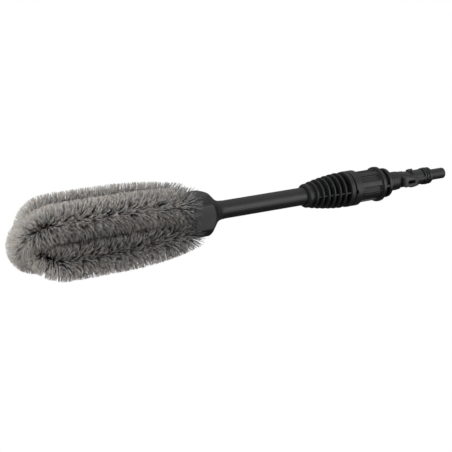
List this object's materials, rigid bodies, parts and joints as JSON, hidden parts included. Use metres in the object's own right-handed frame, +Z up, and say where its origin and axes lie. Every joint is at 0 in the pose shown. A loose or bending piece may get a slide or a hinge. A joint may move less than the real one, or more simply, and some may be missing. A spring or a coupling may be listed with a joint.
{
  "type": "wheel brush",
  "caption": "Water-fed wheel rim brush: crossed twisted-wire bristle loops on a hub, tube, ribbed grip, fluted union nut and swivelling bayonet inlet.",
  "frame": {"origin": "under the middle of the brush, on the surface that its two lower bristle rows lie on", "axes": "+X along the shaft from the bristle nose to the bayonet inlet, +Z up, the four bristle rows at 45 degrees between Y and Z"},
  "size_m": [0.5208, 0.0764, 0.0765],
  "materials": {
    "black_plastic": "satin moulded polyamide",
    "grip_plastic": "fine matte texture",
    "tube_plastic": "satin extruded tube",
    "bristle_grey": "nylon filament",
    "zinc_wire": "zinc-plated twisted wire",
    "brass": "turned",
    "steel": "plain stainless",
    "rubber": "smooth nitrile",
    "white_plastic": "plain acetal"
  },
  "bodies": {
    "handle": {"bristles_inner_loop": "bristle_grey", "bristles_outer_loop": "bristle_grey", "cap_screw_1": "steel", "cap_screw_2": "steel", "cap_screw_3": "steel", "cap_screw_4": "steel", "hub_front_cap": "black_plastic", "hub_shell": "black_plastic", "nozzle_o_ring": "rubber", "ribbed_grip": "grip_plastic", "shaft_end_seal": "rubber", "shaft_retaining_clip": "steel", "shaft_tube": "tube_plastic", "spray_nozzle": "brass", "swivel_thrust_washer": "white_plastic", "wire_clamp_block": "grip_plastic", "wire_ferrule_1": "steel", "wire_ferrule_2": "steel", "wire_ferrule_3": "steel", "wire_ferrule_4": "steel", "wire_inner_loop": "zinc_wire", "wire_outer_loop": "zinc_wire"},
    "slip_washer": {"nut_slip_washer": "white_plastic"},
    "nut": {"union_nut": "black_plastic"},
    "adapter": {"bayonet_adapter": "black_plastic", "swivel_o_ring_1": "rubber", "swivel_o_ring_2": "rubber", "inlet_o_ring": "rubber"}
  },
  "joints": [
    {"name": "nut_travel", "type": "slide", "parent": "handle", "child": "slip_washer", "axis": [1, 0, 0], "range_m": [0, 0.0044]},
    {"name": "nut_turn", "type": "hinge", "parent": "slip_washer", "child": "nut", "pos_m": [0.14, 0, 0.03824], "axis": [1, 0, 0], "range_deg": [0, 630]},
    {"name": "adapter_swivel", "type": "hinge", "parent": "handle", "child": "adapter", "pos_m": [0.15, 0, 0.03824], "axis": [1, 0, 0], "continuous": true}
  ],
  "couplings": [
    {"joint": "nut_travel", "follows": "nut_turn", "m_per_rad": 0.00039789}
  ]
}
